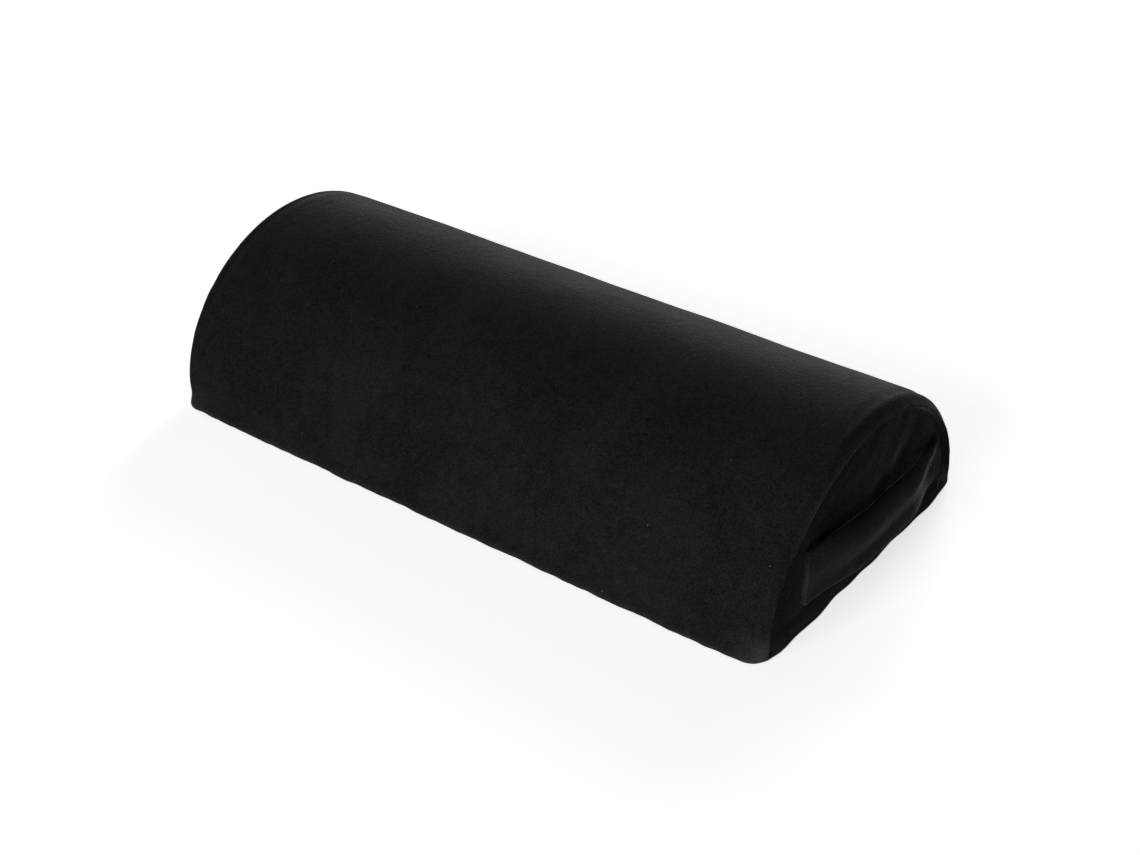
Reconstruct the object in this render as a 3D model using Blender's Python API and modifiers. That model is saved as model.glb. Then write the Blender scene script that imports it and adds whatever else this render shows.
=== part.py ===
"""Half-moon bolster pillow: a foam core in a fabric liner, a zipped pile cover and a carry strap.

Metres, +Z up. The origin is the middle of the flat base. X runs along the bolster, the strap is
sewn to the +X end, and the zip runs along the rear wall, on the +Y side.
"""

import math

import bmesh
import bpy
from mathutils import Matrix, Vector

MM = 0.001

# Filled cover, outside
LENGTH = 430 * MM
WIDTH = 207 * MM
HEIGHT = 101 * MM
SIDE_RISE = 12 * MM  # upright wall below the arch
ARCH_ROUNDNESS = 1.742  # 2 gives an ellipse, less gives a slimmer crown
SHOULDER_RADIUS = 11 * MM  # turn of the arch panel onto the ends
SEAM_ANGLE = math.radians(63)  # how far that turn goes before the end seam
END_RECESS = 2 * MM  # end panel behind its seam

# Cloth thicknesses, and the gap kept between pieces that touch
COVER_CLOTH = 2.0 * MM
BASE_CLOTH = 1.5 * MM
LINER_CLOTH = 0.8 * MM
PATCH_CLOTH = 0.8 * MM
GAP = 0.3 * MM
FOAM_EDGE_RADIUS = 3 * MM

# Zip in the rear wall
CHAIN_LENGTH = 350 * MM
ZIP_WINDOW = 9 * MM  # height of the opening that shows the chain
WINDOW_END_ROOM = 11 * MM  # from the chain's end to the window's end
TAPE_THICKNESS = 0.6 * MM
TAPE_END_ROOM = 8 * MM  # from the chain's end to the tape's end
TAPE_WIDTH = 9.5 * MM
COIL_WIDTH = 2.1 * MM
COIL_THICKNESS = 1.5 * MM
CHAIN_SPLIT = 1.2 * MM  # between the two coils, where the slider's post runs
STOP_LENGTH = 3 * MM

# Zip slider and its pull tab
RUN_GAP = 0.4 * MM  # between the slider and what it slides over
SLIDER_LENGTH = 8.6 * MM
SLIDER_PLATE = 0.8 * MM
SLIDER_RIM = 0.6 * MM
POST_LENGTH = 1.6 * MM
POST_WIDTH = 0.7 * MM
POST_FROM_MOUTH = 0.7 * MM
BRIDGE_LENGTH = 4.6 * MM
BRIDGE_BAR = 0.8 * MM
BRIDGE_WIDTH = 1.5 * MM
TAB_THICKNESS = 0.9 * MM
TAB_LENGTH = 20 * MM
TAB_ARM = 1 * MM  # strip on each side of the tab's eye
TAB_SWING_GAP = 0.25 * MM

# Carry strap on the +X end panel
STRAP_WIDTH = 33 * MM
STRAP_THICKNESS = 2 * MM
STRAP_HEIGHT = HEIGHT / 3  # its middle above the base
STRAP_FRONT = -0.31 * WIDTH
STRAP_REAR = 0.357 * WIDTH
STRAP_FOLD = 13 * MM  # length turned under at each sewn end
STRAP_BULGE = 8 * MM
STRAP_SKEW = 1.4  # above 1 the fullest point moves to the rear
STRAP_SWING = math.radians(20)  # each way from rest
STITCH_RADIUS = 0.35 * MM
STITCH_MARGIN = 4 * MM  # from the strap's edges
STITCH_BOX = 7.5 * MM
PATCH_MARGIN = 4 * MM  # backing patch beyond the sewn end

ARCH_STEPS = 36
SHOULDER_STEPS = 5
STRAP_STEPS = 16
FLAT_ANGLE = math.radians(0.1)  # faces closer than this are one flat face

# Planes that several pieces are set out from
SHOULDER_CENTRE = LENGTH / 2 - SHOULDER_RADIUS
RIM_X = SHOULDER_CENTRE + SHOULDER_RADIUS * math.sin(SEAM_ANGLE)
PANEL_X = RIM_X - END_RECESS
PANEL_BACK_X = PANEL_X - COVER_CLOTH
PATCH_X = PANEL_BACK_X - GAP
LINER_END_X = PATCH_X - PATCH_CLOTH - GAP
FOAM_END_X = LINER_END_X - LINER_CLOTH - GAP

TAPE_INSET = COVER_CLOTH + GAP
LINER_INSET = TAPE_INSET + TAPE_THICKNESS + RUN_GAP + SLIDER_PLATE + GAP
FOAM_INSET = LINER_INSET + LINER_CLOTH + GAP
LINER_FLOOR = BASE_CLOTH + GAP
FOAM_FLOOR = LINER_FLOOR + LINER_CLOTH + GAP

ZIP_Z = SIDE_RISE
WINDOW_X = CHAIN_LENGTH / 2 + WINDOW_END_ROOM
WINDOW_LOW = ZIP_Z - ZIP_WINDOW / 2
WINDOW_HIGH = ZIP_Z + ZIP_WINDOW / 2
TAPE_FACE = WIDTH / 2 - TAPE_INSET
COIL_FOOT = TAPE_FACE + GAP
COIL_TOP = COIL_FOOT + COIL_THICKNESS
SLIDER_X = CHAIN_LENGTH / 2 - SLIDER_LENGTH / 2
SLIDER_TOP = COIL_TOP + RUN_GAP + SLIDER_PLATE
SLIDER_HALF = CHAIN_SPLIT / 2 + COIL_WIDTH + RUN_GAP + SLIDER_RIM
TAB_AXIS_Y = SLIDER_TOP + TAB_SWING_GAP + TAB_THICKNESS / 2
BRIDGE_INSIDE = TAB_AXIS_Y + TAB_THICKNESS / math.sqrt(2) + TAB_SWING_GAP

STRAP_LOW = STRAP_HEIGHT - STRAP_WIDTH / 2
STRAP_SPAN = STRAP_REAR - STRAP_FRONT

PILE = ("pile_cloth", (0.0105, 0.0105, 0.0108, 1), 0.95, 0)
BASE = ("base_cloth", (0.013, 0.013, 0.013, 1), 0.9, 0)
LINER = ("liner_cloth", (0.62, 0.62, 0.6, 1), 0.85, 0)
FOAM = ("foam", (0.72, 0.68, 0.55, 1), 0.9, 0)
TAPE = ("zip_tape", (0.014, 0.014, 0.014, 1), 0.85, 0)
COIL = ("zip_coil", (0.02, 0.02, 0.02, 1), 0.4, 0)
METAL = ("zip_metal", (0.05, 0.05, 0.052, 1), 0.35, 0.8)
STRAP = ("strap_cloth", (0.014, 0.014, 0.0145, 1), 0.9, 0)
THREAD = ("thread", (0.02, 0.02, 0.02, 1), 0.7, 0)


def clear_scene():
    for obj in list(bpy.data.objects):
        bpy.data.objects.remove(obj, do_unlink=True)


def new_collection(name):
    collection = bpy.data.collections.new(name)
    bpy.context.scene.collection.children.link(collection)
    return collection


def material(finish):
    name, colour, roughness, metallic = finish
    found = bpy.data.materials.get(name)
    if found:
        return found
    made = bpy.data.materials.new(name)
    made.use_nodes = True
    shader = made.node_tree.nodes["Principled BSDF"]
    shader.inputs["Base Color"].default_value = colour
    shader.inputs["Roughness"].default_value = roughness
    shader.inputs["Metallic"].default_value = metallic
    return made


def add_part(name, mesh, finish):
    obj = bpy.data.objects.new(name, mesh)
    parts.objects.link(obj)
    mesh.materials.clear()
    mesh.materials.append(material(finish))
    return obj


def add_cutter(name, mesh):
    obj = bpy.data.objects.new(name, mesh)
    cutters.objects.link(obj)
    obj.hide_render = True
    obj.display_type = "WIRE"
    return obj


def boolean(obj, other, operation):
    modifier = obj.modifiers.new(other.name, "BOOLEAN")
    modifier.operation = operation
    modifier.object = other
    modifier.solver = "EXACT"


def box_mesh(name, low, high):
    low, high = Vector(low), Vector(high)
    place = Matrix.Translation((low + high) / 2) @ Matrix.Diagonal((*(high - low), 1))
    bm = bmesh.new()
    bmesh.ops.create_cube(bm, size=1, matrix=place)
    mesh = bpy.data.meshes.new(name)
    bm.to_mesh(mesh)
    bm.free()
    return mesh


def bevel(obj, width, segments):
    modifier = obj.modifiers.new("edges", "BEVEL")
    modifier.width = width
    modifier.segments = segments
    modifier.limit_method = "ANGLE"


def curve_to_mesh(curve, frame):
    """A curve's closed mesh, its caps welded, moved by the frame."""
    bent = bpy.data.objects.new(curve.name, curve)
    cutters.objects.link(bent)
    graph = bpy.context.evaluated_depsgraph_get()
    mesh = bpy.data.meshes.new_from_object(bent.evaluated_get(graph))
    bpy.data.objects.remove(bent)
    bpy.data.curves.remove(curve)
    bm = bmesh.new()
    bm.from_mesh(mesh)
    bmesh.ops.remove_doubles(bm, verts=bm.verts, dist=0.00001)
    bmesh.ops.dissolve_limit(bm, angle_limit=FLAT_ANGLE, verts=bm.verts, edges=bm.edges)
    bmesh.ops.transform(bm, matrix=frame, verts=bm.verts)
    bmesh.ops.recalc_face_normals(bm, faces=bm.faces)
    bm.to_mesh(mesh)
    bm.free()
    return mesh


def plate_mesh(name, outlines, thickness, frame):
    """A flat plate from closed outlines in its own XY plane; an outline inside another is a hole."""
    curve = bpy.data.curves.new(name, "CURVE")
    curve.dimensions = "2D"
    curve.fill_mode = "BOTH"
    curve.extrude = thickness / 2
    for outline in outlines:
        spline = curve.splines.new("POLY")
        spline.points.add(len(outline) - 1)
        for point, (u, v) in zip(spline.points, outline):
            point.co = (u, v, 0, 1)
        spline.use_cyclic_u = True
    return curve_to_mesh(curve, frame)


def standing_on_x(x):
    """Frame of a plate whose outline is in (Y, Z), with its middle at this x."""
    return Matrix(((0, 0, 1, x), (1, 0, 0, 0), (0, 1, 0, 0), (0, 0, 0, 1)))


def standing_on_y():
    """Frame of a plate through the origin whose outline is in (X, Z)."""
    return Matrix(((1, 0, 0, 0), (0, 0, -1, 0), (0, 1, 0, 0), (0, 0, 0, 1)))


def lying_at(z):
    return Matrix.Translation((0, 0, z))


def sheet_mesh(name, rows):
    """An open quad sheet through rows of points, all of one length."""
    across, along = len(rows[0]), len(rows)
    bm = bmesh.new()
    bmesh.ops.create_grid(bm, x_segments=across - 1, y_segments=along - 1, size=1)
    for vert in bm.verts:
        column = round((vert.co.x + 1) / 2 * (across - 1))
        row = round((vert.co.y + 1) / 2 * (along - 1))
        vert.co = rows[row][column]
    mesh = bpy.data.meshes.new(name)
    bm.to_mesh(mesh)
    bm.free()
    return mesh


def thicken(obj, thickness):
    modifier = obj.modifiers.new("cloth", "SOLIDIFY")
    modifier.thickness = thickness
    modifier.offset = -1
    modifier.use_even_offset = True


def wall_y(z, inset):
    """How far out the rear wall stands at height z, for a section set in by the inset."""
    rise = max(z - SIDE_RISE, 0) / (HEIGHT - inset - SIDE_RISE)
    return (WIDTH / 2 - inset) * math.cos(math.asin(rise ** (ARCH_ROUNDNESS / 2)))


def half_moon(inset, floor):
    """Section (y, z) from the front foot over the crown to the rear foot, set in by the inset."""
    half = WIDTH / 2 - inset
    rise = HEIGHT - inset - SIDE_RISE
    angles = [math.pi * step / ARCH_STEPS for step in range(ARCH_STEPS + 1)]
    arch = [
        (-half * math.cos(a), SIDE_RISE + rise * max(math.sin(a), 0) ** (2 / ARCH_ROUNDNESS))
        for a in angles
    ]
    return [(-half, floor), *arch, (half, floor)]


def shoulder_stations(inset, end_x):
    """(x, section inset) along the bolster, turning in at both ends as the cover's shoulders do."""
    turn = SHOULDER_RADIUS - inset
    last = math.asin((end_x - SHOULDER_CENTRE) / turn)
    angles = [last * step / SHOULDER_STEPS for step in range(SHOULDER_STEPS + 1)]
    right = [
        (SHOULDER_CENTRE + turn * math.sin(a), SHOULDER_RADIUS - turn * math.cos(a))
        for a in angles
    ]
    return [(-x, turned) for x, turned in reversed(right)] + right


def plan_outline(inset, end_x):
    """Closed (x, y) outline of the floor space inside a wall set in by the inset."""
    stations = shoulder_stations(inset, end_x)
    front = [(x, turned - WIDTH / 2) for x, turned in stations]
    rear = [(x, WIDTH / 2 - turned) for x, turned in reversed(stations)]
    return front + rear


def make_arch(name, inset, floor, end_x, thickness, finish):
    rows = [
        [(x, y, z) for y, z in half_moon(turned, floor)]
        for x, turned in reversed(shoulder_stations(inset, end_x))
    ]
    obj = add_part(name, sheet_mesh(name, rows), finish)
    thicken(obj, thickness)
    return obj


def make_half_moon_plate(name, inset, floor, thickness, outer_x, finish):
    """An end piece; outer_x is its outside face, negative on the left end."""
    middle = outer_x - math.copysign(thickness / 2, outer_x)
    frame = standing_on_x(middle)
    return add_part(name, plate_mesh(name, [half_moon(inset, floor)], thickness, frame), finish)


def make_core():
    outline = half_moon(FOAM_INSET, FOAM_FLOOR)
    mesh = plate_mesh("foam_core", [outline], 2 * FOAM_END_X, standing_on_x(0))
    core = add_part("foam_core", mesh, FOAM)
    bevel(core, FOAM_EDGE_RADIUS, 3)


def make_liner():
    make_arch("liner_top", LINER_INSET, LINER_FLOOR, LINER_END_X, LINER_CLOTH, LINER)
    inner_turn = SHOULDER_RADIUS - LINER_INSET - LINER_CLOTH
    rim = math.asin((LINER_END_X - SHOULDER_CENTRE) / (SHOULDER_RADIUS - LINER_INSET))
    end_inset = SHOULDER_RADIUS - inner_turn * math.cos(rim) + GAP
    for side, sign in (("left", -1), ("right", 1)):
        name = "liner_end_" + side
        make_half_moon_plate(
            name, end_inset, LINER_FLOOR, LINER_CLOTH, sign * LINER_END_X, LINER
        )
    outline = plan_outline(FOAM_INSET, FOAM_END_X)
    middle = lying_at(LINER_FLOOR + LINER_CLOTH / 2)
    add_part("liner_base", plate_mesh("liner_base", [outline], LINER_CLOTH, middle), LINER)


def make_cover():
    top = make_arch("cover_top", 0, 0, RIM_X, COVER_CLOTH, PILE)
    window = box_mesh(
        "zip_window",
        (-WINDOW_X, WIDTH / 2 - 2 * COVER_CLOTH, -COVER_CLOTH),
        (WINDOW_X, WIDTH / 2 + COVER_CLOTH, WINDOW_HIGH),
    )
    boolean(top, add_cutter("zip_window", window), "DIFFERENCE")
    end_inset = SHOULDER_RADIUS - (SHOULDER_RADIUS - COVER_CLOTH) * math.cos(SEAM_ANGLE) + GAP
    for side, sign in (("left", -1), ("right", 1)):
        make_half_moon_plate("cover_end_" + side, end_inset, 0, COVER_CLOTH, sign * PANEL_X, PILE)
    outline = plan_outline(COVER_CLOTH + GAP, PANEL_BACK_X - GAP)
    middle = lying_at(BASE_CLOTH / 2)
    add_part("cover_base", plate_mesh("cover_base", [outline], BASE_CLOTH, middle), BASE)


def make_zip_facing():
    """The strip of cover below the zip."""
    low = (-WINDOW_X + GAP, WIDTH / 2 - COVER_CLOTH, 0)
    high = (WINDOW_X - GAP, WIDTH / 2, WINDOW_LOW)
    add_part("cover_zip_facing", box_mesh("cover_zip_facing", low, high), PILE)


def make_tape(name, low, high):
    """A zip tape behind the wall; its section follows the wall from low to high."""
    steps = 4
    heights = [low + (high - low) * step / steps for step in range(steps + 1)]
    half = CHAIN_LENGTH / 2 + TAPE_END_ROOM
    rows = [[(x, wall_y(z, TAPE_INSET), z) for z in heights] for x in (-half, half)]
    tape = add_part(name, sheet_mesh(name, rows), TAPE)
    thicken(tape, TAPE_THICKNESS)


def make_zip_chain():
    half_split = CHAIN_SPLIT / 2
    make_tape("zip_tape_upper", ZIP_Z + half_split, ZIP_Z + TAPE_WIDTH)
    make_tape("zip_tape_lower", BASE_CLOTH + 2 * GAP, ZIP_Z - half_split)
    end = CHAIN_LENGTH / 2
    stop_from, stop_to = end + GAP, end + GAP + STOP_LENGTH
    for side, sign in (("upper", 1), ("lower", -1)):
        near, far = ZIP_Z + sign * half_split, ZIP_Z + sign * (half_split + COIL_WIDTH)
        low, high = min(near, far), max(near, far)
        coil = box_mesh("zip_coil_" + side, (-end, COIL_FOOT, low), (end, COIL_TOP, high))
        bevel(add_part("zip_coil_" + side, coil, COIL), COIL_THICKNESS / 4, 2)
        name = "zip_top_stop_" + side
        stop = box_mesh(name, (stop_from, COIL_FOOT, low), (stop_to, COIL_TOP, high))
        bevel(add_part(name, stop, METAL), COIL_THICKNESS / 5, 2)
    reach = half_split + COIL_WIDTH
    low = (-stop_to, COIL_FOOT, ZIP_Z - reach)
    high = (-stop_from, COIL_TOP, ZIP_Z + reach)
    bottom = add_part("zip_bottom_stop", box_mesh("zip_bottom_stop", low, high), METAL)
    bevel(bottom, COIL_THICKNESS / 5, 2)


def make_bridge():
    """The arch over the slider's outer plate that holds the pull tab."""
    half = BRIDGE_LENGTH / 2
    foot = SLIDER_TOP - SLIDER_PLATE / 2
    top = BRIDGE_INSIDE + BRIDGE_BAR
    inner = half - BRIDGE_BAR
    outline = [
        (-half, foot),
        (-half, top - BRIDGE_BAR / 2),
        (-half + BRIDGE_BAR / 2, top),
        (half - BRIDGE_BAR / 2, top),
        (half, top - BRIDGE_BAR / 2),
        (half, foot),
        (inner, foot),
        (inner, BRIDGE_INSIDE),
        (-inner, BRIDGE_INSIDE),
        (-inner, foot),
    ]
    frame = Matrix.Translation((SLIDER_X, 0, ZIP_Z))
    return plate_mesh("bridge", [outline], BRIDGE_WIDTH, frame)


def make_slider():
    """Two plates joined by the post between the coils, with rims beside the coils and a bridge."""
    left, right = SLIDER_X - SLIDER_LENGTH / 2, SLIDER_X + SLIDER_LENGTH / 2
    low, high = ZIP_Z - SLIDER_HALF, ZIP_Z + SLIDER_HALF
    outer_foot = SLIDER_TOP - SLIDER_PLATE
    inner_face = TAPE_FACE - TAPE_THICKNESS - RUN_GAP
    inner_foot = inner_face - SLIDER_PLATE
    middle_of_plate = outer_foot + SLIDER_PLATE / 2
    post_right = right - POST_FROM_MOUTH
    half_post = POST_WIDTH / 2
    slider = box_mesh("zip_slider", (left, outer_foot, low), (right, SLIDER_TOP, high))
    slider = add_part("zip_slider", slider, METAL)
    inner = box_mesh("inner_plate", (left, inner_foot, low), (right, inner_face, high))
    post = box_mesh(
        "post",
        (post_right - POST_LENGTH, inner_face - SLIDER_PLATE / 2, ZIP_Z - half_post),
        (post_right, middle_of_plate, ZIP_Z + half_post),
    )
    rim_foot = TAPE_FACE + RUN_GAP
    upper = ((left, rim_foot, high - SLIDER_RIM), (right, middle_of_plate, high))
    lower = ((left, rim_foot, low), (right, middle_of_plate, low + SLIDER_RIM))
    joined = [inner, post, box_mesh("rim_upper", *upper), box_mesh("rim_lower", *lower)]
    for mesh in [*joined, make_bridge()]:
        boolean(slider, add_cutter(mesh.name, mesh), "UNION")


def make_pull_tab():
    """A flat tab with an eye round the bridge. It lies back along the closed chain."""
    half_bar = TAB_THICKNESS / 2
    bridge_corner = math.hypot(BRIDGE_LENGTH / 2, BRIDGE_INSIDE + BRIDGE_BAR - TAB_AXIS_Y)
    eye_end = bridge_corner + TAB_SWING_GAP
    eye_half = BRIDGE_WIDTH / 2 + TAB_SWING_GAP
    half = eye_half + TAB_ARM
    corner = TAB_ARM
    end = half_bar - TAB_LENGTH
    outer = [
        (half_bar, -half),
        (half_bar, half),
        (end + corner, half),
        (end, half - corner),
        (end, corner - half),
        (end + corner, -half),
    ]
    eye = [
        (-half_bar, -eye_half),
        (-half_bar, eye_half),
        (-eye_end, eye_half),
        (-eye_end, -eye_half),
    ]
    frame = standing_on_y()
    tab = add_part("zip_pull_tab", plate_mesh("tab", [outer, eye], TAB_THICKNESS, frame), METAL)
    tab.location = (SLIDER_X, TAB_AXIS_Y, ZIP_Z)


def strap_bulge(y):
    share = (y - STRAP_FRONT) / STRAP_SPAN
    return STRAP_BULGE * math.sin(math.pi * share**STRAP_SKEW)


def strap_face(y):
    """The strap's outer face; at its sewn ends the strap lies double on the end panel."""
    return PANEL_X + GAP + 2 * STRAP_THICKNESS + strap_bulge(y)


def free_ends():
    """Where the strap stands far enough off the panel to swing: its front and rear y."""
    room = STRAP_WIDTH / 2 * math.sin(STRAP_SWING) + 2 * GAP
    bulge = room / math.cos(STRAP_SWING) - GAP - STRAP_THICKNESS
    turn = math.asin(bulge / STRAP_BULGE) / math.pi
    shares = (turn ** (1 / STRAP_SKEW), (1 - turn) ** (1 / STRAP_SKEW))
    return [STRAP_FRONT + STRAP_SPAN * share for share in shares]


def strap_piece(name, front, rear, finish, folded=None):
    """A stretch of strap from front to rear; folded is the y range that lies double."""
    stops = [front + (rear - front) * step / STRAP_STEPS for step in range(STRAP_STEPS + 1)]
    outer = [(strap_face(y), y) for y in stops]
    inner = [(strap_face(y) - STRAP_THICKNESS, y) for y in stops]
    if folded:
        low, high = folded
        bare = [(x, y) for x, y in inner if not low <= y <= high]
        foot = [(PANEL_X + GAP, low), (PANEL_X + GAP, high)]
        at_front = low == front
        edge = high if at_front else low
        step = [(strap_face(edge) - STRAP_THICKNESS, edge)]
        inner = foot + step + bare if at_front else bare + step + foot
    mesh = plate_mesh(name, [outer + inner[::-1]], STRAP_WIDTH, lying_at(STRAP_HEIGHT))
    return add_part(name, mesh, finish)


def make_stitching(name, near, far):
    """One closed box of thread on the strap, between two y."""
    face = max(strap_face(near), strap_face(far)) + GAP + STITCH_RADIUS
    low = STRAP_LOW + STITCH_MARGIN
    high = STRAP_LOW + STRAP_WIDTH - STITCH_MARGIN
    curve = bpy.data.curves.new(name, "CURVE")
    curve.dimensions = "3D"
    curve.bevel_depth = STITCH_RADIUS
    curve.bevel_resolution = 2
    spline = curve.splines.new("POLY")
    spline.points.add(3)
    corners = ((near, low), (far, low), (far, high), (near, high))
    for point, (y, z) in zip(spline.points, corners):
        point.co = (face, y, z, 1)
    spline.use_cyclic_u = True
    add_part(name, curve_to_mesh(curve, Matrix.Identity(4)), THREAD)


def make_patch(name, near, far):
    low = (PATCH_X - PATCH_CLOTH, near - PATCH_MARGIN, STRAP_LOW - PATCH_MARGIN)
    high = (PATCH_X, far + PATCH_MARGIN, STRAP_LOW + STRAP_WIDTH + PATCH_MARGIN)
    add_part(name, box_mesh(name, low, high), LINER)


def make_handle():
    free_front, free_rear = free_ends()
    strap = strap_piece("handle_strap", free_front, free_rear, STRAP)
    axis = Vector((strap_face(free_front) - STRAP_THICKNESS / 2, 0, STRAP_HEIGHT))
    strap.data.transform(Matrix.Translation(-axis))
    strap.location = axis
    front_fold = (STRAP_FRONT, STRAP_FRONT + STRAP_FOLD)
    rear_fold = (STRAP_REAR - STRAP_FOLD / 2, STRAP_REAR)
    strap_piece("strap_end_front", STRAP_FRONT, free_front - GAP, STRAP, front_fold)
    strap_piece("strap_end_rear", free_rear + GAP, STRAP_REAR, STRAP, rear_fold)
    stitch_front = STRAP_FRONT + STITCH_MARGIN
    stitch_rear = STRAP_REAR - STITCH_MARGIN
    make_stitching("strap_stitching_front", stitch_front, stitch_front + STITCH_BOX)
    make_stitching("strap_stitching_rear", stitch_rear - STITCH_BOX, stitch_rear)
    make_patch("strap_patch_front", *front_fold)
    make_patch("strap_patch_rear", STRAP_REAR - STRAP_FOLD, STRAP_REAR)


clear_scene()
parts = new_collection("bolster_pillow")
cutters = new_collection("cutters")
make_core()
make_liner()
make_cover()
make_zip_facing()
make_zip_chain()
make_slider()
make_pull_tab()
make_handle()
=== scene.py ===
import math

import bmesh
import bpy
from mathutils import Matrix, Vector, noise


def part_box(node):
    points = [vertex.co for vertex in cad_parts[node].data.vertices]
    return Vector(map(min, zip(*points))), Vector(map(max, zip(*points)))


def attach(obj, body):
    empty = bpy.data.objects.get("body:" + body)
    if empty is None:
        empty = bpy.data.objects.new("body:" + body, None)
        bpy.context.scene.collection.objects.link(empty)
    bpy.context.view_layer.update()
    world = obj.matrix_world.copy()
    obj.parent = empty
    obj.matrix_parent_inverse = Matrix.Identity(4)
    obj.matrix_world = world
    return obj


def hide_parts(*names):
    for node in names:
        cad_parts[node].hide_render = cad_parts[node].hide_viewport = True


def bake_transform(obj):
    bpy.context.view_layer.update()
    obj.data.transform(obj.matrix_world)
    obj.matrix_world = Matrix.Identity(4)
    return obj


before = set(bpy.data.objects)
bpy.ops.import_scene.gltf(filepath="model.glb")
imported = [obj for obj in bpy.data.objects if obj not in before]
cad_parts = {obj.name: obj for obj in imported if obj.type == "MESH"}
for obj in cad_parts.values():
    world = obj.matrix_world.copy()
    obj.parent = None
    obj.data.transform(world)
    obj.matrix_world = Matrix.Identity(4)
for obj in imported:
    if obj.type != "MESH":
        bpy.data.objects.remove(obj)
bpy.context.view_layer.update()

# The camera stands off the strap end, a little above the pillow, behind a long lens.
MM = 0.001
AIM = Vector((0, 0, 43 * MM))
CAMERA_DISTANCE = 1.1152
CAMERA_SHIFT = (10.32 * MM, -27.95 * MM)
azimuth, elevation, roll = (math.radians(turn) for turn in (38.44, 34.01, -1.635))
away = Vector((
    math.sin(azimuth) * math.cos(elevation),
    -math.cos(azimuth) * math.cos(elevation),
    math.sin(elevation),
))
level = Vector((math.cos(azimuth), math.sin(azimuth), 0))
steep = away.cross(level)
right = level * math.cos(roll) + steep * math.sin(roll)
up = steep * math.cos(roll) - level * math.sin(roll)
stand = AIM + away * CAMERA_DISTANCE + right * CAMERA_SHIFT[0] + up * CAMERA_SHIFT[1]
bpy.ops.object.select_all(action="DESELECT")
bpy.ops.object.camera_add()
camera = bpy.context.object
camera.matrix_world = Matrix.Translation(stand) @ Matrix((right, up, away)).transposed().to_4x4()
camera.data.sensor_width = 36
camera.data.lens = 59.4
bpy.context.scene.camera = camera

# The cover: a short-pile black velour bag sewn from an arched top panel, a base and two half-moon
# end panels. The top panel turns over a soft shoulder at each end and is sewn to the end panel in
# a proud ridge; the rear wall has the slot that the zip lies in.
HALF_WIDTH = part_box("cover_top")[1].y
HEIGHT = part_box("cover_top")[1].z
PANEL_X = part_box("cover_end_right")[1].x
SIDE_RISE = 12 * MM
ARCH_POWER = 2 / 1.742
ARCH_STEPS = 80
FOOT_ROUND = 2 * MM
FOOT_STEPS = 8
SHOULDER_RADIUS = 11 * MM
SHOULDER_CENTRE = 204 * MM
SHOULDER_STEPS = 5
SEAM_TURN = math.radians(63)
SEAM_INSET = 9.6 * MM
CORE_Z = 20 * MM
SLOT_X = 186 * MM
SLOT_LOW = 7.25 * MM
SLOT_HIGH = 16.75 * MM
SLOT_DEPTH = 3.1 * MM
# Pile colours: a painted highlight, a painted shade, then the pile's own dark and light nap tones.
PILE_PAINTED_HIGHLIGHT = (0.075, 0.075, 0.075, 1)
PILE_PAINTED_SHADE = (0.0006, 0.0006, 0.0006, 1)
PILE_DARK = (0.0022, 0.0022, 0.0022, 1)
PILE_LIGHT = (0.0235, 0.0235, 0.0235, 1)


def half_line(inset, floor):
    """Half of the section, from the middle of the base out to the side and up to the crown."""
    half = HALF_WIDTH - inset
    rise = HEIGHT - inset - SIDE_RISE
    foot = FOOT_ROUND
    points = [(0.0, floor)]
    for step in range(FOOT_STEPS + 1):
        turn = math.pi / 2 * step / FOOT_STEPS
        points.append((half - foot + foot * math.sin(turn), floor + foot - foot * math.cos(turn)))
    for step in range(ARCH_STEPS + 1):
        turn = math.pi / 2 * step / ARCH_STEPS
        climb = math.sin(turn) ** ARCH_POWER
        points.append((half * math.cos(turn), SIDE_RISE + rise * climb))
    return points


def along_line(points):
    """Distance walked at each point of a line."""
    walked = [0.0]
    for a, b in zip(points, points[1:]):
        walked.append(walked[-1] + math.dist(a, b))
    return walked


def point_at(points, keys, key):
    """The point of a line at a key, which grows along it."""
    for (a, b), (low, high) in zip(zip(points, points[1:]), zip(keys, keys[1:])):
        if high >= key > low or (key <= low and low == keys[0]):
            share = min(max((key - low) / (high - low), 0), 1) if high > low else 0
            return (a[0] + (b[0] - a[0]) * share, a[1] + (b[1] - a[1]) * share)
    return points[-1]


def section_sides(inset, floor, across, rows):
    """The section as four sides of a grid: base and crown front to rear, walls bottom to top."""
    line = half_line(inset, floor)
    walked = along_line(line)
    heights = [z for y, z in line]
    corner = 1 + FOOT_STEPS // 2
    low, wall_top = line[corner][1], rows[-1]
    wall = []
    for row in rows:
        share = (row - rows[0]) / (wall_top - rows[0])
        wall.append(point_at(line[corner:], heights[corner:], low + (wall_top - low) * share))
    turn = next(i for i, h in enumerate(heights) if h > wall_top)
    top = walked[turn - 1] + math.dist(line[turn - 1], wall[-1])
    half = across // 2
    base = [point_at(line, walked, walked[corner] * step / half) for step in range(half + 1)]
    crown = []
    for step in range(half + 1):
        crown.append(point_at(line, walked, top + (walked[-1] - top) * step / half))
    base_row = [(-y, z) for y, z in base[:0:-1]] + base
    crown_row = [(-y, z) for y, z in crown] + crown[-2::-1]
    return base_row, crown_row, [(-y, z) for y, z in wall], wall


def grid_point(sides, column, row, across, rows):
    """A point of the section's plane: on its outline, or blended from the four sides."""
    base, crown, front, rear = sides
    u = column / across
    v = (rows[row] - rows[0]) / (rows[-1] - rows[0])
    if row == 0:
        return base[column]
    if row == len(rows) - 1:
        return crown[column]
    if column == 0:
        return front[row]
    if column == across:
        return rear[row]
    point = []
    for axis in (0, 1):
        blend = (1 - v) * base[column][axis] + v * crown[column][axis]
        blend += (1 - u) * front[row][axis] + u * rear[row][axis]
        blend -= (1 - u) * (1 - v) * base[0][axis] + u * (1 - v) * base[-1][axis]
        blend -= (1 - u) * v * crown[0][axis] + u * v * crown[-1][axis]
        point.append(blend)
    return point


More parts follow.
